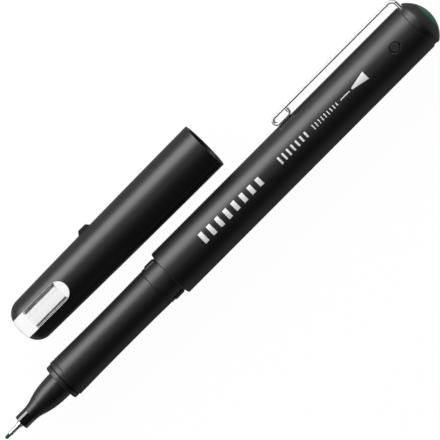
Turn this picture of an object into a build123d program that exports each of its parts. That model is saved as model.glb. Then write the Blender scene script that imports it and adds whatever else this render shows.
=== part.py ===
from build123d import *
from math import sqrt
import os

os.makedirs("parts", exist_ok=True)

# Fineliner pen lying on its barrel, with its cap drawn off and laid beside it, in millimetres.
# X runs along the pen from nib to dome, Z is up, and the clip and the cap are on the +Y side.
# The origin is on the pen's axis, in the plane of the barrel's front shoulder.

# Clearances
push_gap = 0.03  # radial, between pieces pushed into one another
pivot_gap = 0.03  # radial, round the clip's rolled bead
slot_gap = 0.08  # in front of and beside the clip's leg in its slot
swing_gap = 0.25  # behind the clip's leg, for its spring travel
rest_gap = 0.02  # under the clip's folded end

# Barrel
barrel_diameter = 12.2
barrel_length = 79.0
barrel_wall = 1.3
shoulder_chamfer = 0.15
rib_count = 6
rib_width = 0.9
rib_end_gap = 1.0
boss_setback = 6.4  # from the barrel's back end to the snap bosses
boss_radius = 1.14
boss_bevel = 0.16
boss_hole_gap = 0.06
boss_hole_sink = 0.30  # slanted edge of the boss's hole
boss_inset = 0.06  # boss face under the top of the barrel

# Ink reservoir and its film
reservoir_radius = 3.55
wrap_thickness = 0.15

# Grip section
grip_length = 35.3  # from the lip's face to the barrel's shoulder
lip_face_radius = 4.60
lip_radius = 4.72
lip_edge = 0.15  # slanted front edge of the lip
lip_line_setback = 1.25  # from the lip's face to the first turned line
lip_line_spacing = 1.35  # from the first turned line to the second
grip_radius = 4.91
waist_radius = 4.78
collar_radius = 5.0
collar_length = 4.3
line_width = 0.30  # turned lines behind the lip and before the collar
line_depth = 0.20
fine_line_depth = 0.10
front_wall = 1.2
grip_bore_gap = 0.10  # radial, between the reservoir's film and the grip section
grip_spigot_length = 9.0
spigot_chamfer = 0.3

# Snap lugs on the collar, one on each side
lug_height = 0.25
lug_length = 2.95
lug_setback = 0.45  # from the shoulder to the lug's back end
lug_slope = 0.35
lug_bevel = 0.2
lug_angle = 56.0

# Nose cone
nose_length = 12.9  # what stands out of the lip
nose_tip_radius = 1.85
nose_tip_length = 2.7
nose_tip_rounding = 0.25
nose_base_radius = 3.33
nose_swell_radius = 2.62  # where the hollow of the cone turns into its swell
nose_swell_setback = 3.6
flange_thickness = 1.3
nose_tail_radius = 2.2
nose_tail_length = 2.5

# Tip sleeve
sleeve_length = 3.6  # what stands out of the nose cone
sleeve_radius = 0.55
sleeve_flare_radius = 0.93
sleeve_flare_length = 1.7
shank_radius = 0.70
shank_length = 4.0

# Fibre nib
nib_radius = 0.43
nib_exposed = 1.4
nib_rod_radius = 0.66
nib_seat_depth = 4.0  # how far the rod goes into the reservoir

# End plug
plug_groove = 0.9
plug_groove_depth = 0.26
plug_rim_length = 0.6
plug_rim_inset = 0.12
dome_height = 3.0
dome_edge_rounding = 0.9
plug_spigot_length = 13.0
plug_spigot_wall = 0.9
plug_head_inset = 1.0  # how far the solid head reaches into the barrel
post_radius = 2.0
post_length = 14.3  # from the plug's solid head to the reservoir

# Colour disc
disc_radius = 3.4
disc_depth = 1.3
stem_radius = 1.1
stem_length = 1.5

# Clip
clip_thickness = 0.7
clip_width = 4.0
clip_edge_rounding = 0.28
clip_gap = 1.76  # between the barrel and the clip's arm
clip_reach = 39.4  # from the back of the leg to the front of the fold
clip_leg_setback = 0.20  # from the barrel's back end to the leg
clip_bend_radius = 1.45  # middle of the strip, where leg turns into arm
clip_tail_length = 2.7
clip_curl_radius = 0.7
clip_end_gap = 0.12  # between the curled end and the arm
bead_radius = 0.62
bead_depth = 2.3  # bead's middle under the barrel's surface

# Cap
cap_mouth_x = 26.1
cap_axis_y = 14.9
cap_length = 59.6
cap_end_radius = 5.40  # where the side meets the domed end
cap_bulge = 0.11
cap_dome_height = 1.9
cap_end_rounding = 4.0
mouth_gap = 0.05  # radial, over the snap lugs
mouth_depth = 4.6
mouth_chamfer = 0.25
cap_bore_gap = 0.15  # radial, over the grip section's lip
cap_slot_width = 5.28
cap_slot_length = 15.4
cap_end_wall = 1.6
cap_floor_slope = 2.1  # slanted rim of the closed end's inside
nub_setback = 33.0  # from the mouth to the middle of the nub
nub_length = 3.5
nub_top_length = 2.1
nub_height = 0.85
nub_width = 1.8

# Inner cap
inner_cap_radius = 4.60
inner_cap_setback = 1.3  # from the seated grip section's lip to the inner cap
inner_cap_wall = 0.9
inner_cap_end_wall = 2.1
tongue_rounding = 0.3
seal_gap = 0.08  # radial, round the nose cone's straight end
seal_length = 1.6  # how much of the straight end the seal tube holds
seal_wall = 0.30
seal_lead = 0.15  # slanted mouth of the seal tube

# Radii and stations that follow from the sizes above
barrel_radius = barrel_diameter / 2
bore_radius = barrel_radius - barrel_wall
wrap_radius = reservoir_radius + wrap_thickness
grip_bore_radius = wrap_radius + grip_bore_gap
nose_hole_radius = nose_base_radius + push_gap
nib_bore_radius = max(shank_radius, nib_rod_radius) + push_gap
boss_x = barrel_length - boss_setback
lip_x = -grip_length
flange_x = lip_x + front_wall
tail_x = flange_x + flange_thickness
reservoir_front_x = tail_x + nose_tail_length
nose_x = lip_x - nose_length
sleeve_x = nose_x - sleeve_length
nib_x = sleeve_x - nib_exposed
shank_end_x = nose_x + shank_length
plug_spigot_x = barrel_length - plug_spigot_length
plug_head_x = barrel_length - plug_head_inset
reservoir_back_x = plug_head_x - post_length
reservoir_length = reservoir_back_x - reservoir_front_x
rim_x = barrel_length + plug_groove
dome_x = rim_x + plug_rim_length
rim_radius = barrel_radius - plug_rim_inset
dome_radius = (rim_radius**2 + dome_height**2) / (2 * dome_height)
apex_x = dome_x + dome_height
leg_x = barrel_length + clip_leg_setback + clip_thickness / 2
arm_y = barrel_radius + clip_gap + clip_thickness / 2
bead_y = barrel_radius - bead_depth
lug_radius = collar_radius + lug_height


def on_dome(radius):
    """Station on the plug's dome at a distance from the pen's axis."""
    return apex_x - dome_radius + sqrt(dome_radius**2 - radius**2)


# Barrel: tube with ribs that centre the reservoir and two holes for the plug's snap bosses
with BuildPart() as barrel:
    with BuildSketch(Plane.YZ):
        Circle(barrel_radius)
        Circle(bore_radius, mode=Mode.SUBTRACT)
    extrude(amount=barrel_length)
    outer_ends = barrel.edges().filter_by(GeomType.CIRCLE).group_by(SortBy.RADIUS)[-1]
    chamfer(outer_ends, shoulder_chamfer)
    rib_x = grip_spigot_length + rib_end_gap
    rib_inner = wrap_radius + push_gap
    rib_root = bore_radius + barrel_wall / 2
    with BuildSketch(Plane.YZ.offset(rib_x)):
        with PolarLocations((rib_inner + rib_root) / 2, rib_count):
            Rectangle(rib_root - rib_inner, rib_width)
    extrude(amount=plug_spigot_x - rib_end_gap - rib_x)
    hole_radius = boss_radius + boss_hole_gap
    hole_edge_z = barrel_radius - boss_hole_sink
    with BuildSketch(Plane.XZ):
        with BuildLine():
            Polyline(
                (boss_x, -barrel_radius),
                (boss_x + hole_radius + boss_hole_sink, -barrel_radius),
                (boss_x + hole_radius, -hole_edge_z),
                (boss_x + hole_radius, hole_edge_z),
                (boss_x + hole_radius + boss_hole_sink, barrel_radius),
                (boss_x, barrel_radius),
                close=True,
            )
        make_face()
    revolve(axis=Axis((boss_x, 0, 0), (0, 0, 1)), mode=Mode.SUBTRACT)

# Grip section: waisted tube with a front lip, a collar with snap lugs and a spigot in the barrel
with BuildPart() as grip_section:
    collar_x = -collar_length
    first_line_x = lip_x + lip_line_setback
    second_line_x = first_line_x + lip_line_spacing
    waist_front_x = second_line_x + line_width / 2
    waist_back_x = collar_x - line_width
    spigot_radius = bore_radius - push_gap
    with BuildSketch(Plane.XY):
        with BuildLine():
            Polyline(
                (flange_x, nose_hole_radius),
                (lip_x, nose_hole_radius),
                (lip_x, lip_face_radius),
                (lip_x + lip_edge, lip_radius),
                (first_line_x - line_width / 2, lip_radius),
                (first_line_x, lip_radius - line_depth),
                (first_line_x + line_width / 2, grip_radius),
                (second_line_x - line_width / 2, grip_radius),
                (second_line_x, grip_radius - fine_line_depth),
                (waist_front_x, grip_radius),
            )
            ThreePointArc(
                (waist_front_x, grip_radius),
                ((waist_front_x + waist_back_x) / 2, waist_radius),
                (waist_back_x, grip_radius),
            )
            Polyline(
                (waist_back_x, grip_radius),
                (collar_x - line_width / 2, grip_radius - fine_line_depth),
                (collar_x, grip_radius),
                (collar_x, collar_radius),
                (0, collar_radius),
                (0, spigot_radius),
                (grip_spigot_length - spigot_chamfer, spigot_radius),
                (grip_spigot_length, spigot_radius - spigot_chamfer),
                (grip_spigot_length, grip_bore_radius),
                (flange_x, grip_bore_radius),
                (flange_x, nose_hole_radius),
            )
        make_face()
    revolve(axis=Axis.X)
    lug_back_x = -lug_setback
    lug_front_x = lug_back_x - lug_length
    lug_root = (collar_radius + grip_bore_radius) / 2
    for side in (0, 180):
        lug_plane = Plane.XY.rotated((side - lug_angle / 2, 0, 0))
        with BuildSketch(lug_plane):
            with BuildLine():
                Polyline(
                    (lug_front_x, lug_root),
                    (lug_front_x, collar_radius),
                    (lug_front_x + lug_slope, lug_radius),
                    (lug_back_x - lug_slope, lug_radius),
                    (lug_back_x, collar_radius),
                    (lug_back_x, lug_root),
                    close=True,
                )
            make_face()
        revolve(axis=Axis.X, revolution_arc=lug_angle)
    level_edges = grip_section.edges().filter_by(Axis.X)
    lug_sides = level_edges.group_by(lambda edge: abs(edge.center().Z))[-1]
    chamfer(lug_sides, lug_bevel)

# Nose cone: flanged behind the grip section's lip and bored for the tip sleeve and the nib
with BuildPart() as nose_cone:
    cone_x = nose_x + nose_tip_length
    with BuildSketch(Plane.XY):
        with BuildLine():
            Polyline(
                (cone_x, nose_tip_radius),
                (nose_x + nose_tip_rounding, nose_tip_radius),
            )
            RadiusArc(
                (nose_x + nose_tip_rounding, nose_tip_radius),
                (nose_x, nose_tip_radius - nose_tip_rounding),
                -nose_tip_rounding,
            )
            Polyline(
                (nose_x, nose_tip_radius - nose_tip_rounding),
                (nose_x, nib_bore_radius),
                (reservoir_front_x, nib_bore_radius),
                (reservoir_front_x, nose_tail_radius),
                (tail_x, nose_tail_radius),
                (tail_x, grip_bore_radius - push_gap),
                (flange_x, grip_bore_radius - push_gap),
                (flange_x, nose_base_radius),
                (lip_x, nose_base_radius),
            )
            Spline(
                (lip_x, nose_base_radius),
                (cone_x + nose_swell_setback, nose_swell_radius),
                (cone_x, nose_tip_radius),
                tangents=((-1, 0), (-1, 0)),
            )
        make_face()
    revolve(axis=Axis.X)

# Tip sleeve: drawn metal tube, flared where it meets the nose cone
with BuildPart() as tip_sleeve:
    flare_x = nose_x - sleeve_flare_length
    sleeve_bore = nib_radius + push_gap
    with BuildSketch(Plane.XY):
        with BuildLine():
            Polyline(
                (sleeve_x, sleeve_bore),
                (sleeve_x, sleeve_radius),
                (flare_x, sleeve_radius),
            )
            TangentArc(
                (flare_x, sleeve_radius),
                (nose_x, sleeve_flare_radius),
                tangent=(1, 0),
            )
            Polyline(
                (nose_x, sleeve_flare_radius),
                (nose_x, shank_radius),
                (shank_end_x, shank_radius),
                (shank_end_x, sleeve_bore),
                (sleeve_x, sleeve_bore),
            )
        make_face()
    revolve(axis=Axis.X)

# Fibre nib: thin round-ended point on a thicker rod that reaches into the reservoir
with BuildPart() as fibre_nib:
    rod_x = shank_end_x + push_gap
    rod_end_x = reservoir_front_x + nib_seat_depth
    with BuildSketch(Plane.XY):
        with BuildLine():
            RadiusArc((nib_x, 0), (nib_x + nib_radius, nib_radius), nib_radius)
            Polyline(
                (nib_x + nib_radius, nib_radius),
                (rod_x, nib_radius),
                (rod_x, nib_rod_radius),
                (rod_end_x - nib_rod_radius, nib_rod_radius),
                (rod_end_x, 0),
                (nib_x, 0),
            )
        make_face()
    revolve(axis=Axis.X)

# Ink reservoir: fibre core with a pocket for the nib's rod
with BuildPart() as ink_reservoir:
    pocket_radius = nib_rod_radius + push_gap
    with BuildSketch(Plane.YZ.offset(reservoir_front_x)):
        Circle(reservoir_radius)
    extrude(amount=reservoir_length)
    with BuildSketch(Plane.YZ.offset(reservoir_front_x)):
        Circle(pocket_radius)
    extrude(amount=nib_seat_depth + push_gap, mode=Mode.SUBTRACT)

# Reservoir wrap: film tube round the fibre core
with BuildPart() as reservoir_wrap:
    with BuildSketch(Plane.YZ.offset(reservoir_front_x)):
        Circle(wrap_radius)
        Circle(reservoir_radius + push_gap, mode=Mode.SUBTRACT)
    extrude(amount=reservoir_length)

# End plug: domed head with a grooved neck, a hollow spigot with snap bosses, and a centre post
with BuildPart() as end_plug:
    neck_radius = barrel_radius - plug_groove_depth
    plug_spigot_radius = bore_radius - push_gap
    plug_bore_radius = plug_spigot_radius - plug_spigot_wall
    with BuildSketch(Plane.XY) as plug_form:
        with BuildLine():
            Polyline(
                (apex_x, 0),
                (reservoir_back_x, 0),
                (reservoir_back_x, post_radius),
                (plug_head_x, post_radius),
                (plug_head_x, plug_bore_radius),
                (plug_spigot_x, plug_bore_radius),
                (plug_spigot_x, plug_spigot_radius - spigot_chamfer),
                (plug_spigot_x + spigot_chamfer, plug_spigot_radius),
                (barrel_length, plug_spigot_radius),
                (barrel_length, neck_radius),
                (rim_x, neck_radius),
                (rim_x, rim_radius),
                (dome_x, rim_radius),
            )
            RadiusArc((dome_x, rim_radius), (apex_x, 0), dome_radius)
        make_face()
        dome_corner = plug_form.vertices().sort_by_distance((dome_x, rim_radius))[0]
        fillet(dome_corner, dome_edge_rounding)
    revolve(axis=Axis.X)
    boss_root = plug_spigot_radius - plug_spigot_wall / 2
    for side in (1, -1):
        boss_plane = Plane((boss_x, 0, 0), x_dir=(1, 0, 0), z_dir=(0, 0, side))
        with BuildSketch(boss_plane.offset(boss_root)):
            Circle(boss_radius)
        extrude(amount=barrel_radius - boss_inset - boss_root)
        boss_face = end_plug.faces().sort_by(Axis((0, 0, 0), (0, 0, side)))[-1]
        chamfer(boss_face.edges(), boss_bevel)
    disc_floor_x = on_dome(disc_radius) - disc_depth
    with BuildSketch(Plane.YZ.offset(disc_floor_x)):
        Circle(disc_radius + push_gap)
    extrude(amount=dome_height, mode=Mode.SUBTRACT)
    with BuildSketch(Plane.YZ.offset(disc_floor_x)):
        Circle(stem_radius + push_gap)
    extrude(amount=-stem_length - push_gap, mode=Mode.SUBTRACT)
    slot_front_x = leg_x - clip_thickness / 2 - slot_gap
    slot_back_x = leg_x + clip_thickness / 2 + swing_gap
    with BuildSketch(Plane.XY):
        with Locations((leg_x, bead_y)):
            Circle(bead_radius + pivot_gap)
        with Locations(((slot_front_x + slot_back_x) / 2, bead_y)):
            Rectangle(
                slot_back_x - slot_front_x, barrel_radius, align=(Align.CENTER, Align.MIN)
            )
    extrude(amount=clip_width / 2 + slot_gap, both=True, mode=Mode.SUBTRACT)

# Colour disc: shows the ink's colour in the middle of the dome
with BuildPart() as colour_disc:
    disc_edge_x = on_dome(disc_radius)
    with BuildSketch(Plane.XY):
        with BuildLine():
            Polyline(
                (apex_x, 0),
                (disc_floor_x - stem_length, 0),
                (disc_floor_x - stem_length, stem_radius),
                (disc_floor_x, stem_radius),
                (disc_floor_x, disc_radius),
                (disc_edge_x, disc_radius),
            )
            RadiusArc((disc_edge_x, disc_radius), (apex_x, 0), dome_radius)
        make_face()
    revolve(axis=Axis.X)

# Clip: one strip with eased edges, with a rolled bead in the plug, a straight arm and a folded free end
with BuildPart() as clip:
    fold_radius = (clip_gap - rest_gap) / 2
    fold_x = leg_x + clip_thickness - clip_reach + fold_radius
    tail_y = arm_y - 2 * fold_radius
    with BuildLine() as strip:
        Line((leg_x, bead_y), (leg_x, arm_y - clip_bend_radius))
        JernArc((leg_x, arm_y - clip_bend_radius), (0, 1), clip_bend_radius, 90)
        Line((leg_x - clip_bend_radius, arm_y), (fold_x, arm_y))
        JernArc((fold_x, arm_y), (-1, 0), fold_radius, 180)
        Line((fold_x, tail_y), (fold_x + clip_tail_length, tail_y))
        JernArc((fold_x + clip_tail_length, tail_y), (1, 0), clip_curl_radius, 90)
        curl_x = fold_x + clip_tail_length + clip_curl_radius
        end_y = arm_y - clip_thickness / 2 - clip_end_gap
        Line((curl_x, tail_y + clip_curl_radius), (curl_x, end_y))
    with BuildSketch(Plane((leg_x, bead_y, 0), x_dir=(0, 0, 1), z_dir=(0, 1, 0))):
        RectangleRounded(clip_width, clip_thickness, clip_edge_rounding)
    sweep(path=strip.wires()[0])
    with BuildSketch(Plane.XY):
        with Locations((leg_x, bead_y)):
            Circle(bead_radius)
    extrude(amount=clip_width / 2, both=True)

# The cap's own plane: its origin is in the middle of the mouth, and -X goes into the cap
cap_plane = Plane((cap_mouth_x, cap_axis_y, 0), x_dir=(1, 0, 0), z_dir=(0, 0, 1))
cap_axis = Axis((cap_mouth_x, cap_axis_y, 0), (1, 0, 0))
cap_side_x = -(cap_length - cap_dome_height)
cap_dome_radius = (cap_end_radius**2 + cap_dome_height**2) / (2 * cap_dome_height)
mouth_radius = lug_radius + mouth_gap
seat_bore_radius = inner_cap_radius + push_gap
inner_cap_x = -grip_length - inner_cap_setback
cap_floor_x = -(cap_length - cap_end_wall)
cap_floor_radius = seat_bore_radius - cap_floor_slope
slot_centre_x = -cap_length + cap_slot_length - cap_slot_width / 2


def cap_radius_at(station):
    """Outer radius of the cap's side at a station between its end and its mouth."""
    share = station / cap_side_x
    straight = barrel_radius + (cap_end_radius - barrel_radius) * share
    return straight + 4 * cap_bulge * share * (1 - share)


# Outer form of the cap, which the shell and the inner cap share
with BuildSketch(cap_plane) as cap_form:
    with BuildLine():
        SagittaArc((cap_side_x, cap_end_radius), (0, barrel_radius), cap_bulge)
        RadiusArc((cap_side_x, cap_end_radius), (-cap_length, 0), -cap_dome_radius)
        Polyline((-cap_length, 0), (0, 0), (0, barrel_radius))
    make_face()
    end_corner = cap_form.vertices().sort_by_distance((cap_side_x, cap_end_radius))[0]
    fillet(end_corner, cap_end_rounding)


def cap_slot(clearance):
    """Profile of the slot in the cap's end, with its full-round inner end."""
    width = cap_slot_width - 2 * clearance
    with BuildSketch(cap_plane) as slot:
        with Locations((slot_centre_x, 0)):
            Circle(width / 2)
            Rectangle(cap_slot_length, width, align=(Align.MAX, Align.CENTER))
    return slot.sketch


# Cap shell: tapered tube with a domed end, a stepped bore, a through slot and a side nub
with BuildPart() as cap_shell:
    revolve(cap_form.sketch, axis=cap_axis)
    nub_x = -nub_setback
    nub_base = cap_radius_at(nub_x)
    with BuildSketch(cap_plane):
        with BuildLine():
            Polyline(
                (nub_x - nub_length / 2, nub_base - nub_height / 2),
                (nub_x - nub_length / 2, nub_base),
                (nub_x - nub_top_length / 2, nub_base + nub_height),
                (nub_x + nub_top_length / 2, nub_base + nub_height),
                (nub_x + nub_length / 2, nub_base),
                (nub_x + nub_length / 2, nub_base - nub_height / 2),
                close=True,
            )
        make_face()
    extrude(amount=nub_width / 2, both=True)
    bore_end_radius = grip_radius + cap_bore_gap
    with BuildSketch(cap_plane):
        with BuildLine():
            Polyline(
                (0, 0),
                (0, mouth_radius + mouth_chamfer),
                (-mouth_chamfer, mouth_radius),
                (-mouth_depth, mouth_radius),
                (inner_cap_x, bore_end_radius),
                (inner_cap_x, seat_bore_radius),
                (cap_floor_x + cap_floor_slope, seat_bore_radius),
                (cap_floor_x, cap_floor_radius),
                (cap_floor_x, 0),
                close=True,
            )
        make_face()
    revolve(axis=cap_axis, mode=Mode.SUBTRACT)
    extrude(cap_slot(0), amount=2 * barrel_radius, both=True, mode=Mode.SUBTRACT)

# Inner cap: clear cup whose tongue fills the shell's slot and whose tube closes round the nose
with BuildPart() as inner_cap:
    revolve(cap_form.sketch, axis=cap_axis)
    extrude(cap_slot(push_gap), amount=2 * barrel_radius, both=True, mode=Mode.INTERSECT)
    fillet(inner_cap.edges().filter_by(Axis.Z, reverse=True), tongue_rounding)
    with BuildSketch(cap_plane):
        with BuildLine():
            Polyline(
                (inner_cap_x, 0),
                (inner_cap_x, inner_cap_radius),
                (cap_floor_x + cap_floor_slope, inner_cap_radius),
                (cap_floor_x + push_gap, cap_floor_radius - push_gap),
                (cap_floor_x + push_gap, 0),
                close=True,
            )
        make_face()
    revolve(axis=cap_axis)
    seal_radius = nose_tip_radius + seal_gap
    seal_x = nose_x + seal_length
    seal_floor_x = cap_floor_x + inner_cap_end_wall
    cup_bore_radius = inner_cap_radius - inner_cap_wall
    with BuildSketch(cap_plane):
        with BuildLine():
            Polyline(
                (inner_cap_x, 0),
                (inner_cap_x, cup_bore_radius),
                (seal_floor_x, cup_bore_radius),
                (seal_floor_x, seal_radius + seal_wall),
                (seal_x, seal_radius + seal_wall),
                (seal_x, seal_radius + seal_lead),
                (seal_x - seal_lead, seal_radius),
                (seal_floor_x, seal_radius),
                (seal_floor_x, 0),
                close=True,
            )
        make_face()
    revolve(axis=cap_axis, mode=Mode.SUBTRACT)

# Name each piece and write it out
pieces = {
    "barrel": barrel,
    "grip_section": grip_section,
    "nose_cone": nose_cone,
    "tip_sleeve": tip_sleeve,
    "fibre_nib": fibre_nib,
    "ink_reservoir": ink_reservoir,
    "reservoir_wrap": reservoir_wrap,
    "end_plug": end_plug,
    "colour_disc": colour_disc,
    "clip": clip,
    "cap_shell": cap_shell,
    "inner_cap": inner_cap,
}
for name, piece in pieces.items():
    piece.part.label = name
    export_step(piece.part, f"parts/{name}.step")
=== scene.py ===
import math

import bmesh
import bpy
from mathutils import Matrix, Vector


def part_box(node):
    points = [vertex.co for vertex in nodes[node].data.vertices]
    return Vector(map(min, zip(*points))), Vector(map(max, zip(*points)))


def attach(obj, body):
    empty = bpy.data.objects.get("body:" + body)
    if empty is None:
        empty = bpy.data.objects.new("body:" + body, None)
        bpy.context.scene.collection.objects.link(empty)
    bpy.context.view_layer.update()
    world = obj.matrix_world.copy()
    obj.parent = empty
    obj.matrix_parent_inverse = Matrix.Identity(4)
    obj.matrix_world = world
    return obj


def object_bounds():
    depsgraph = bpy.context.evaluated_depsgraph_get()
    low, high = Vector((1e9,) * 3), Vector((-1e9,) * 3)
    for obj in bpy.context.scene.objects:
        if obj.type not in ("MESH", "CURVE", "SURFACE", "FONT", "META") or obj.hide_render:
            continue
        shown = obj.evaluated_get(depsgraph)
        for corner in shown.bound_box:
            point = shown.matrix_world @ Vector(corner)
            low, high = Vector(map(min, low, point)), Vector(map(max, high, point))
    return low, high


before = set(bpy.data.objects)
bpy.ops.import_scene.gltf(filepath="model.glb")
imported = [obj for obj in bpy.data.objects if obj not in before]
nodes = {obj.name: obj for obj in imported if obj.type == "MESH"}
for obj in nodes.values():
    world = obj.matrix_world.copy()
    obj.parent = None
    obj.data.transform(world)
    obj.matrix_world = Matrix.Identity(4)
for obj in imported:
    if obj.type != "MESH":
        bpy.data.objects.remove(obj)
cadLow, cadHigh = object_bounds()
mm = 0.001
# a noise texture's values lie mostly within such limits, and a finish is spread over them
softLimits = (0.3, 0.7)
crispLimits = (0.35, 0.65)
plainDetail = 2.0  # octaves of a noise texture
print("frame loaded:", ", ".join(sorted(nodes)))


def linearColour(code):
    # sRGB hex to the linear numbers that shaders use
    parts = [int(code[i:i + 2], 16) / 255 for i in (1, 3, 5)]
    linear = [p / 12.92 if p <= 0.04045 else ((p + 0.055) / 1.055) ** 2.4 for p in parts]
    return (*linear, 1.0)


def addNode(tree, kind, values=None, links=None, **settings):
    node = tree.nodes.new(kind)
    for key, value in settings.items():
        setattr(node, key, value)
    for key, value in (values or {}).items():
        node.inputs[key].default_value = value
    for key, source in (links or {}).items():
        tree.links.new(source, node.inputs[key])
    return node


def newMaterial(name):
    material = bpy.data.materials.new(name)
    material.use_nodes = True
    tree = material.node_tree
    tree.nodes.clear()
    shader = addNode(tree, "ShaderNodeBsdfPrincipled")
    addNode(tree, "ShaderNodeOutputMaterial", links={"Surface": shader.outputs["BSDF"]})
    return material, tree, shader


def dress(node, material):
    piece = nodes[node]
    piece.data.materials.clear()
    piece.data.materials.append(material)


# Black mouldings
# Polystyrene from a spark-eroded mould: near black, a broad soft highlight and a very fine grain.
# The grain is really about 0.05 mm, and is drawn at 0.22 mm so that it shows at all.
moulding = {
    "dark": "#0a0a0b",
    "pale": "#0f0f10",
    "ior": 1.59,
    "grainMm": 0.22,
    "grainDepthMm": 0.0025,
    "flowMm": 11.0,  # cloudiness left by the melt's flow along the piece
    "flowStretch": 0.25,
    "flowDetail": 3.0,
}
mouldedPieces = {
    "barrel": {"smooth": 0.38, "rough": 0.44},
    "grip_section": {"smooth": 0.41, "rough": 0.47},
    "nose_cone": {"smooth": 0.36, "rough": 0.42},
    "end_plug": {"smooth": 0.38, "rough": 0.44},
    "cap_shell": {"smooth": 0.35, "rough": 0.41},
}
# The nose cone's straight end comes from a polished part of the tool, for the inner cap's seal.
# Its dense, glossy skin mirrors more than the grained faces do.
polishedEnd = {"lengthMm": 2.75, "fadeMm": 0.25, "roughness": 0.06, "skin": 1.0}


def mouldedBlack(name, smooth, rough, polishedTo=None):
    material, tree, shader = newMaterial(name)
    place = addNode(tree, "ShaderNodeTexCoord").outputs["Object"]
    along = addNode(tree, "ShaderNodeMapping", {"Scale": (moulding["flowStretch"], 1, 1)},
                    {"Vector": place})
    flow = addNode(tree, "ShaderNodeTexNoise",
                   {"Scale": 1 / (moulding["flowMm"] * mm), "Detail": moulding["flowDetail"]},
                   {"Vector": along.outputs["Vector"]})
    grain = addNode(tree, "ShaderNodeTexNoise",
                    {"Scale": 1 / (moulding["grainMm"] * mm), "Detail": plainDetail},
                    {"Vector": place})
    colour = addNode(tree, "ShaderNodeValToRGB", links={"Fac": flow.outputs["Fac"]})
    colour.color_ramp.elements[0].color = linearColour(moulding["dark"])
    colour.color_ramp.elements[1].color = linearColour(moulding["pale"])
    gloss = addNode(tree, "ShaderNodeMapRange",
                    {"From Min": softLimits[0], "From Max": softLimits[1],
                     "To Min": smooth, "To Max": rough},
                    {"Value": flow.outputs["Fac"]})
    depth = addNode(tree, "ShaderNodeBump",
                    {"Distance": moulding["grainDepthMm"] * mm, "Strength": 1.0},
                    {"Height": grain.outputs["Fac"]})
    finish = gloss.outputs["Result"]
    if polishedTo is not None:
        # share of the grained finish: none up to polishedTo, and all of it from grainedFrom on
        grainedFrom = polishedTo + polishedEnd["fadeMm"] * mm
        split = addNode(tree, "ShaderNodeSeparateXYZ", links={"Vector": place})
        share = addNode(tree, "ShaderNodeMapRange",
                        {"From Min": polishedTo, "From Max": grainedFrom},
                        {"Value": split.outputs["X"]})
        blend = addNode(tree, "ShaderNodeMix", {"A": polishedEnd["roughness"]},
                        {"Factor": share.outputs["Result"], "B": finish})
        finish = blend.outputs["Result"]
        skin = addNode(tree, "ShaderNodeMapRange", {"To Min": polishedEnd["skin"], "To Max": 0.0},
                       {"Value": share.outputs["Result"]})
        shader.inputs["Coat Roughness"].default_value = polishedEnd["roughness"]
        tree.links.new(skin.outputs["Result"], shader.inputs["Coat Weight"])
        tree.links.new(share.outputs["Result"], depth.inputs["Strength"])
    shader.inputs["IOR"].default_value = moulding["ior"]
    tree.links.new(colour.outputs["Color"], shader.inputs["Base Color"])
    tree.links.new(finish, shader.inputs["Roughness"])
    tree.links.new(depth.outputs["Normal"], shader.inputs["Normal"])
    return material


for node, finish in mouldedPieces.items():
    polishedTo = None
    if node == "nose_cone":
        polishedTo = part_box("nose_cone")[0].x + polishedEnd["lengthMm"] * mm
    dress(node, mouldedBlack("mouldedPolystyrene_" + node, finish["smooth"], finish["rough"],
                             polishedTo))
print("black mouldings done")

# Clip
# Spring strip, chrome plated after bending: bright faces, softly satin along faint rolling lines,
# and painted shade along its rounded edges: a darker colour there, standing in for the darker
# reflection they show.
# The lines are really some hundredths of a millimetre apart, and are drawn at 0.12 mm.
platedStrip = {
    "colour": "#f0f0f1",
    "smooth": 0.12,
    "rough": 0.18,
    "lineMm": 0.12,
    "lengthMm": 6.0,  # how far a line runs along the strip
}
# painted shade: a darker colour on the strip's rounded edges, for the darker reflection there
paintedEdgeShade = {
    "colour": "#c0c0c1",
    "heightMm": 0.28,  # how far in from the strip's sides the painted shade reaches
    "fadeMm": 0.04,
}


def rolledMetal(name, settings, shadeFrom=None):
    material, tree, shader = newMaterial(name)
    place = addNode(tree, "ShaderNodeTexCoord").outputs["Object"]
    stretch = settings["lineMm"] / settings["lengthMm"]
    along = addNode(tree, "ShaderNodeMapping", {"Scale": (stretch, 1, 1)}, {"Vector": place})
    lines = addNode(tree, "ShaderNodeTexNoise",
                    {"Scale": 1 / (settings["lineMm"] * mm), "Detail": plainDetail},
                    {"Vector": along.outputs["Vector"]})
    gloss = addNode(tree, "ShaderNodeMapRange",
                    {"From Min": crispLimits[0], "From Max": crispLimits[1],
                     "To Min": settings["smooth"], "To Max": settings["rough"]},
                    {"Value": lines.outputs["Fac"]})
    shader.inputs["Base Color"].default_value = linearColour(settings["colour"])
    if shadeFrom is not None:
        # the strip lies on its side, so its edges, which get the painted shade, are its parts
        # furthest up and down
        split = addNode(tree, "ShaderNodeSeparateXYZ", links={"Vector": place})
        away = addNode(tree, "ShaderNodeMath", links={0: split.outputs["Z"]}, operation="ABSOLUTE")
        share = addNode(tree, "ShaderNodeMapRange",
                        {"From Min": shadeFrom, "From Max": shadeFrom + paintedEdgeShade["fadeMm"] * mm},
                        {"Value": away.outputs[0]})
        colour = addNode(tree, "ShaderNodeValToRGB", links={"Fac": share.outputs["Result"]})
        colour.color_ramp.elements[0].color = linearColour(settings["colour"])
        colour.color_ramp.elements[1].color = linearColour(paintedEdgeShade["colour"])
        tree.links.new(colour.outputs["Color"], shader.inputs["Base Color"])
    shader.inputs["Metallic"].default_value = 1.0
    tree.links.new(gloss.outputs["Result"], shader.inputs["Roughness"])
    return material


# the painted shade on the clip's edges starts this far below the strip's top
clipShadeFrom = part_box("clip")[1].z - paintedEdgeShade["heightMm"] * mm
dress("clip", rolledMetal("chromePlatedSpringStrip", platedStrip, clipShadeFrom))

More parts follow.
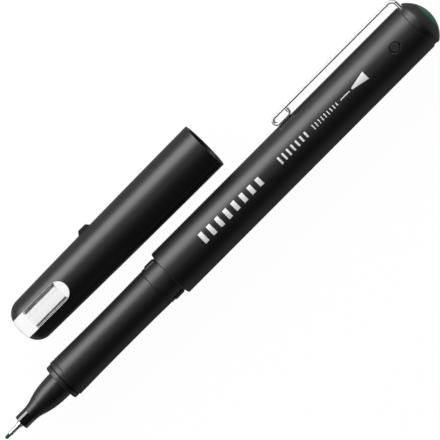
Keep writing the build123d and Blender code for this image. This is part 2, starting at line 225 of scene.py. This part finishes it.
# Tip sleeve
# Stainless tube drawn through a die: bright, with drawing lines along it.
# The lines are really about 0.01 mm apart, and are drawn at 0.10 mm so that they show.
drawnTube = {"colour": "#e2e3e5", "smooth": 0.28, "rough": 0.36, "lineMm": 0.10, "lengthMm": 3.0}
dress("tip_sleeve", rolledMetal("drawnStainlessTube", drawnTube))
print("metal pieces done")

# Fibres
# Bonded polyester fibre, soaked with green ink: dull and dark, streaked along the fibres.
# The strands are really about 0.02 mm thick, and are drawn at 0.06 mm so that they show.
fibre = {
    "dark": "#003322",
    "pale": "#005f43",
    "roughness": 0.7,
    "strandMm": 0.06,
    "lengthMm": 1.6,
    "strandDepthMm": 0.01,
    "relief": 0.5,  # share of that depth that is drawn
}


def soakedFibre(name):
    material, tree, shader = newMaterial(name)
    place = addNode(tree, "ShaderNodeTexCoord").outputs["Object"]
    stretch = fibre["strandMm"] / fibre["lengthMm"]
    along = addNode(tree, "ShaderNodeMapping", {"Scale": (stretch, 1, 1)}, {"Vector": place})
    strands = addNode(tree, "ShaderNodeTexNoise",
                      {"Scale": 1 / (fibre["strandMm"] * mm), "Detail": plainDetail},
                      {"Vector": along.outputs["Vector"]})
    colour = addNode(tree, "ShaderNodeValToRGB", links={"Fac": strands.outputs["Fac"]})
    colour.color_ramp.elements[0].position = crispLimits[0]
    colour.color_ramp.elements[0].color = linearColour(fibre["dark"])
    colour.color_ramp.elements[1].position = crispLimits[1]
    colour.color_ramp.elements[1].color = linearColour(fibre["pale"])
    depth = addNode(tree, "ShaderNodeBump",
                    {"Distance": fibre["strandDepthMm"] * mm, "Strength": fibre["relief"]},
                    {"Height": strands.outputs["Fac"]})
    shader.inputs["Roughness"].default_value = fibre["roughness"]
    tree.links.new(colour.outputs["Color"], shader.inputs["Base Color"])
    tree.links.new(depth.outputs["Normal"], shader.inputs["Normal"])
    return material


inkedFibre = soakedFibre("inkSoakedPolyesterFibre")
dress("fibre_nib", inkedFibre)
dress("ink_reservoir", inkedFibre)

# Colour disc
# Polystyrene from a polished mould: clean green, glossy, with a little flow in its colour.
# The IOR is below the plastic's own 1.59, matched to the disc's quiet highlight.
disc = {"dark": "#004b32", "pale": "#006744", "ior": 1.36, "roughness": 0.32, "flowMm": 3.0}


def polishedGreen(name):
    material, tree, shader = newMaterial(name)
    place = addNode(tree, "ShaderNodeTexCoord").outputs["Object"]
    flow = addNode(tree, "ShaderNodeTexNoise",
                   {"Scale": 1 / (disc["flowMm"] * mm), "Detail": plainDetail}, {"Vector": place})
    colour = addNode(tree, "ShaderNodeValToRGB", links={"Fac": flow.outputs["Fac"]})
    colour.color_ramp.elements[0].color = linearColour(disc["dark"])
    colour.color_ramp.elements[1].color = linearColour(disc["pale"])
    shader.inputs["IOR"].default_value = disc["ior"]
    shader.inputs["Roughness"].default_value = disc["roughness"]
    tree.links.new(colour.outputs["Color"], shader.inputs["Base Color"])
    return material


dress("colour_disc", polishedGreen("polishedGreenPolystyrene"))

# Clear pieces
# Clear polypropylene of the inner cap: almost colourless, with a light haze from the mould.
# The IOR is below the plastic's own 1.49, matched to the thin lines of the seal tube.
clearCup = {"colour": "#fcfcfc", "ior": 1.20, "smooth": 0.01, "rough": 0.06, "hazeMm": 4.0}
# Polyethylene film round the ink core: milky and thin
film = {"colour": "#e8ecea", "ior": 1.5, "smooth": 0.25, "rough": 0.35, "hazeMm": 2.0}


def clearPlastic(name, settings):
    material, tree, shader = newMaterial(name)
    place = addNode(tree, "ShaderNodeTexCoord").outputs["Object"]
    haze = addNode(tree, "ShaderNodeTexNoise",
                   {"Scale": 1 / (settings["hazeMm"] * mm), "Detail": plainDetail},
                   {"Vector": place})
    gloss = addNode(tree, "ShaderNodeMapRange",
                    {"From Min": softLimits[0], "From Max": softLimits[1],
                     "To Min": settings["smooth"], "To Max": settings["rough"]},
                    {"Value": haze.outputs["Fac"]})
    shader.inputs["Base Color"].default_value = linearColour(settings["colour"])
    shader.inputs["IOR"].default_value = settings["ior"]
    shader.inputs["Transmission Weight"].default_value = 1.0
    tree.links.new(gloss.outputs["Result"], shader.inputs["Roughness"])
    return material


dress("inner_cap", clearPlastic("clearPolypropylene", clearCup))
dress("reservoir_wrap", clearPlastic("polyethyleneFilm", film))
print("fibres, disc and clear pieces done")

# Silver marks on the barrel: rows of bars that go from broad to fine, a line and a wedge
# Pad-printed ink with aluminium flakes: pale grey, a little metallic, slightly uneven.
# The flakes are really about 0.02 mm, and are drawn at 0.15 mm so that they show.
marks = {
    "colour": "#dcddde",
    "metallic": 0.25,
    "smooth": 0.35,
    "rough": 0.55,
    "grainMm": 0.15,
    "turnDeg": 3.4,  # middle of the marks, from straight up towards the clip
    "filmMm": 0.04,  # half of it is sunk in the barrel
    "steps": 12,  # points across a bar, where it follows the barrel
}
# In a row, the bars' height across the barrel goes from firstMm to lastMm.
# A tapered bar is narrower at its end towards the nib, by the share that taper gives.
markRows = [
    {"count": 8, "startMm": 11.6, "pitchMm": 2.55, "widthMm": 1.15,
     "firstMm": 2.8, "lastMm": 2.1, "taper": 0.0},
    {"count": 7, "startMm": 36.2, "pitchMm": 1.38, "widthMm": 0.50,
     "firstMm": 1.9, "lastMm": 1.5, "taper": 0.0},
    {"count": 9, "startMm": 46.9, "pitchMm": 0.92, "widthMm": 0.26,
     "firstMm": 1.3, "lastMm": 0.9, "taper": 0.0},
    {"count": 1, "startMm": 56.9, "pitchMm": 1.0, "widthMm": 3.0,
     "firstMm": 0.24, "lastMm": 0.24, "taper": 0.0},
    {"count": 1, "startMm": 61.3, "pitchMm": 1.0, "widthMm": 4.4,
     "firstMm": 2.2, "lastMm": 2.2, "taper": 0.8},
]


def silverInk(name):
    material, tree, shader = newMaterial(name)
    place = addNode(tree, "ShaderNodeTexCoord").outputs["Object"]
    flakes = addNode(tree, "ShaderNodeTexNoise",
                     {"Scale": 1 / (marks["grainMm"] * mm), "Detail": plainDetail},
                     {"Vector": place})
    gloss = addNode(tree, "ShaderNodeMapRange",
                    {"To Min": marks["smooth"], "To Max": marks["rough"]},
                    {"Value": flakes.outputs["Fac"]})
    shader.inputs["Base Color"].default_value = linearColour(marks["colour"])
    shader.inputs["Metallic"].default_value = marks["metallic"]
    tree.links.new(gloss.outputs["Result"], shader.inputs["Roughness"])
    return material


def barsOnBarrel():
    # one bar is tapered, repeated along X, and rolled onto the barrel
    tree = bpy.data.node_groups.new("barsOnBarrel", "GeometryNodeTree")
    kinds = {"Count": "Int", "Start": "Float", "Pitch": "Float", "Width": "Float", "First": "Float",
             "Last": "Float", "Taper": "Float", "Radius": "Float", "Turn": "Float", "Film": "Float",
             "Steps": "Int", "Ink": "Material"}
    sockets = {}
    for name, kind in kinds.items():
        sockets[name] = tree.interface.new_socket(name, in_out="INPUT",
                                                  socket_type="NodeSocket" + kind)
    tree.interface.new_socket("Marks", in_out="OUTPUT", socket_type="NodeSocketGeometry")
    given = addNode(tree, "NodeGroupInput").outputs

    def maths(operation, first, second):
        links, values = {}, {}
        for i, side in enumerate((first, second)):
            (values if isinstance(side, (int, float)) else links)[i] = side
        return addNode(tree, "ShaderNodeMath", values, links, operation=operation).outputs[0]

    bar = addNode(tree, "GeometryNodeMeshCube",
                  {"Size": (1, 1, 1), "Vertices X": 2, "Vertices Z": 2},
                  {"Vertices Y": given["Steps"]})
    own = addNode(tree, "ShaderNodeSeparateXYZ",
                  links={"Vector": addNode(tree, "GeometryNodeInputPosition").outputs[0]}).outputs
    fromEnd = maths("SUBTRACT", 0.5, own["X"])
    narrow = maths("SUBTRACT", 1.0, maths("MULTIPLY", given["Taper"], fromEnd))
    outline = addNode(tree, "ShaderNodeCombineXYZ",
                      links={"X": own["X"], "Y": maths("MULTIPLY", own["Y"], narrow),
                             "Z": own["Z"]})
    tapered = addNode(tree, "GeometryNodeSetPosition",
                      links={"Geometry": bar.outputs["Mesh"],
                             "Position": outline.outputs["Vector"]})
    startAt = addNode(tree, "ShaderNodeCombineXYZ", links={"X": given["Start"]})
    stepBy = addNode(tree, "ShaderNodeCombineXYZ", links={"X": given["Pitch"]})
    row = addNode(tree, "GeometryNodeMeshLine",
                  links={"Count": given["Count"], "Start Location": startAt.outputs["Vector"],
                         "Offset": stepBy.outputs["Vector"]})
    index = addNode(tree, "GeometryNodeInputIndex").outputs[0]
    share = maths("DIVIDE", index, maths("MAXIMUM", maths("SUBTRACT", given["Count"], 1), 1))
    drop = maths("MULTIPLY", share, maths("SUBTRACT", given["Last"], given["First"]))
    size = addNode(tree, "ShaderNodeCombineXYZ",
                   links={"X": given["Width"], "Y": maths("ADD", given["First"], drop),
                          "Z": given["Film"]})
    bars = addNode(tree, "GeometryNodeInstanceOnPoints",
                   links={"Points": row.outputs["Mesh"], "Instance": tapered.outputs["Geometry"],
                          "Scale": size.outputs["Vector"]})
    solid = addNode(tree, "GeometryNodeRealizeInstances",
                    links={"Geometry": bars.outputs["Instances"]})
    flat = addNode(tree, "ShaderNodeSeparateXYZ",
                   links={"Vector": addNode(tree, "GeometryNodeInputPosition").outputs[0]}).outputs
    angle = maths("ADD", maths("DIVIDE", flat["Y"], given["Radius"]), given["Turn"])
    reach = maths("ADD", given["Radius"], flat["Z"])
    rolled = addNode(tree, "ShaderNodeCombineXYZ",
                     links={"X": flat["X"],
                            "Y": maths("MULTIPLY", reach, maths("SINE", angle, 0.0)),
                            "Z": maths("MULTIPLY", reach, maths("COSINE", angle, 0.0))})
    wrapped = addNode(tree, "GeometryNodeSetPosition",
                      links={"Geometry": solid.outputs["Geometry"],
                             "Position": rolled.outputs["Vector"]})
    inked = addNode(tree, "GeometryNodeSetMaterial",
                    links={"Geometry": wrapped.outputs["Geometry"], "Material": given["Ink"]})
    addNode(tree, "NodeGroupOutput", links={"Marks": inked.outputs["Geometry"]})
    return tree, {name: socket.identifier for name, socket in sockets.items()}


def printMarks():
    tree, inputs = barsOnBarrel()
    ink = silverInk("padPrintedSilverInk")
    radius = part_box("barrel")[1].z
    joined = bmesh.new()
    for row in markRows:
        holder = bpy.data.objects.new("markRow", bpy.data.meshes.new("markRow"))
        bpy.context.scene.collection.objects.link(holder)
        rule = holder.modifiers.new("bars", "NODES")
        rule.node_group = tree
        values = {
            "Count": row["count"], "Start": row["startMm"] * mm, "Pitch": row["pitchMm"] * mm,
            "Width": row["widthMm"] * mm, "First": row["firstMm"] * mm, "Last": row["lastMm"] * mm,
            "Taper": row["taper"], "Radius": radius, "Turn": math.radians(marks["turnDeg"]),
            "Film": marks["filmMm"] * mm, "Steps": marks["steps"], "Ink": ink,
        }
        for name, value in values.items():
            rule[inputs[name]] = value
        ready = holder.evaluated_get(bpy.context.evaluated_depsgraph_get())
        mesh = bpy.data.meshes.new_from_object(ready)
        joined.from_mesh(mesh)
        bpy.data.objects.remove(holder)
        bpy.data.meshes.remove(mesh)
    bmesh.ops.recalc_face_normals(joined, faces=joined.faces)
    mesh = bpy.data.meshes.new("barrelMarks")
    joined.to_mesh(mesh)
    joined.free()
    mesh.materials.append(ink)
    piece = bpy.data.objects.new("barrelMarks", mesh)
    bpy.context.scene.collection.objects.link(piece)
    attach(piece, "pen")


printMarks()
print("silver marks done")

# Stage: a white table, one long softbox on the clip's side, a small scrim overhead,
# and a dim wall under a dark ceiling. Lengths are in metres.
stage = {
    "floorSize": 8.0,
    "floorColour": "#f4f4f4",
    "floorRoughness": 0.9,
    "whiteShare": 0.98,  # plain white in what the camera sees, and the rest is lit
    "mirroredShare": 0.8,  # plain grey in what the pieces mirror, and the rest is lit
    "mirroredLevel": 0.15,
}
softbox = {"length": 2.0, "width": 0.34, "distance": 0.5, "elevationDeg": 34.0, "radiance": 5.5}
scrim = {"length": 0.26, "width": 0.08, "distance": 1.0, "elevationDeg": 89.0, "radiance": 3.0}
# brightness of wall and ceiling, and the heights between which one fades into the other
room = {"wall": 0.20, "ceiling": 0.03, "wallTop": 0.10, "ceilingFrom": 0.34}


def makeFloor():
    half = stage["floorSize"] / 2
    mesh = bpy.data.meshes.new("floor")
    corners = [(-half, -half), (half, -half), (half, half), (-half, half)]
    mesh.from_pydata([(x, y, cadLow.z) for x, y in corners], [], [(0, 1, 2, 3)])
    floor = bpy.data.objects.new("floor", mesh)
    bpy.context.scene.collection.objects.link(floor)
    # matt painted board: white to the camera and through clear plastic, and mirrored dimly,
    # as it is where dark flags stand beside the pen
    material, tree, shader = newMaterial("mattWhiteBoard")
    shader.inputs["Base Color"].default_value = linearColour(stage["floorColour"])
    shader.inputs["Roughness"].default_value = stage["floorRoughness"]
    shader.inputs["Specular IOR Level"].default_value = 0.0
    ray = addNode(tree, "ShaderNodeLightPath").outputs
    seen = addNode(tree, "ShaderNodeMath", operation="MAXIMUM",
                   links={0: ray["Is Camera Ray"], 1: ray["Is Transmission Ray"]}).outputs[0]
    whiteShare = addNode(tree, "ShaderNodeMath", {1: stage["whiteShare"]}, {0: seen},
                         operation="MULTIPLY").outputs[0]
    greyShare = addNode(tree, "ShaderNodeMath", {1: stage["mirroredShare"]},
                        {0: ray["Is Glossy Ray"]}, operation="MULTIPLY").outputs[0]
    share = addNode(tree, "ShaderNodeMath", links={0: whiteShare, 1: greyShare},
                    operation="MAXIMUM").outputs[0]
    level = addNode(tree, "ShaderNodeMapRange",
                    {"To Min": stage["mirroredLevel"], "To Max": 1.0}, {"Value": seen})
    white = addNode(tree, "ShaderNodeEmission", {"Color": (1, 1, 1, 1)},
                    {"Strength": level.outputs["Result"]})
    mix = addNode(tree, "ShaderNodeMixShader",
                  links={0: share, 1: shader.outputs["BSDF"], 2: white.outputs["Emission"]})
    out = next(n for n in tree.nodes if n.type == "OUTPUT_MATERIAL")
    tree.links.new(mix.outputs["Shader"], out.inputs["Surface"])
    mesh.materials.append(material)


def makeSoftbox(name, settings):
    rise = math.radians(settings["elevationDeg"])
    target = Vector(((cadLow.x + cadHigh.x) / 2, 0, 0))
    towards = Vector((0, math.cos(rise), math.sin(rise)))
    lamp = bpy.data.lights.new(name, "AREA")
    lamp.shape = "RECTANGLE"
    lamp.size, lamp.size_y = settings["length"], settings["width"]
    # watts that give a face of this size its radiance
    lamp.energy = settings["radiance"] * math.pi * settings["length"] * settings["width"]
    light = bpy.data.objects.new(name, lamp)
    bpy.context.scene.collection.objects.link(light)
    across = Vector((1, 0, 0))
    turn = Matrix((across, towards.cross(across), towards)).transposed()
    light.matrix_world = Matrix.Translation(target + towards * settings["distance"]) @ turn.to_4x4()
    light.visible_camera = False


def makeRoom():
    world = bpy.data.worlds.new("room")
    bpy.context.scene.world = world
    world.use_nodes = True
    tree = world.node_tree
    tree.nodes.clear()
    direction = addNode(tree, "ShaderNodeTexCoord").outputs["Generated"]
    height = addNode(tree, "ShaderNodeSeparateXYZ", links={"Vector": direction}).outputs["Z"]
    level = addNode(tree, "ShaderNodeMapRange",
                    {"From Min": room["wallTop"], "From Max": room["ceilingFrom"],
                     "To Min": room["wall"], "To Max": room["ceiling"]},
                    {"Value": height}, interpolation_type="SMOOTHSTEP")
    # like the floor, it is white to the camera and through clear plastic
    ray = addNode(tree, "ShaderNodeLightPath").outputs
    seen = addNode(tree, "ShaderNodeMath", operation="MAXIMUM",
                   links={0: ray["Is Camera Ray"], 1: ray["Is Transmission Ray"]}).outputs[0]
    strength = addNode(tree, "ShaderNodeMix", {"B": 1.0},
                       {"Factor": seen, "A": level.outputs["Result"]})
    back = addNode(tree, "ShaderNodeBackground", {"Color": (1, 1, 1, 1)},
                   {"Strength": strength.outputs["Result"]})
    addNode(tree, "ShaderNodeOutputWorld", links={"Surface": back.outputs["Background"]})


makeFloor()
makeSoftbox("softbox", softbox)
makeSoftbox("scrim", scrim)
makeRoom()
bpy.context.scene.view_settings.view_transform = "Standard"
print("stage done")

# Camera: nearly straight down on the table, a little from the domed end, with the pen turned
# in the picture
shot = {
    "centreMm": (16.55, 0.53, 0.0),
    "frameMm": 99.7,  # width of the picture in the plane of the pen's axis
    "distanceMm": 2000.0,
    "turnDeg": 45.1,
    "leanDeg": 4.6,
    "sensorMm": 36.0,
}


def makeCamera():
    lean, turn = math.radians(shot["leanDeg"]), math.radians(shot["turnDeg"])
    back = Vector((math.sin(lean), 0, math.cos(lean)))
    penWay = Vector((math.cos(lean), 0, -math.sin(lean)))
    sideWay = Vector((0, 1, 0))
    right = penWay * math.cos(turn) - sideWay * math.sin(turn)
    up = penWay * math.sin(turn) + sideWay * math.cos(turn)
    lens = bpy.data.cameras.new("camera")
    lens.sensor_width = shot["sensorMm"]
    lens.lens = shot["sensorMm"] * shot["distanceMm"] / shot["frameMm"]
    camera = bpy.data.objects.new("camera", lens)
    bpy.context.scene.collection.objects.link(camera)
    middle = Vector(shot["centreMm"]) * mm
    turnedTo = Matrix((right, up, back)).transposed().to_4x4()
    camera.matrix_world = Matrix.Translation(middle + back * shot["distanceMm"] * mm) @ turnedTo
    bpy.context.scene.camera = camera


makeCamera()
print("camera done")
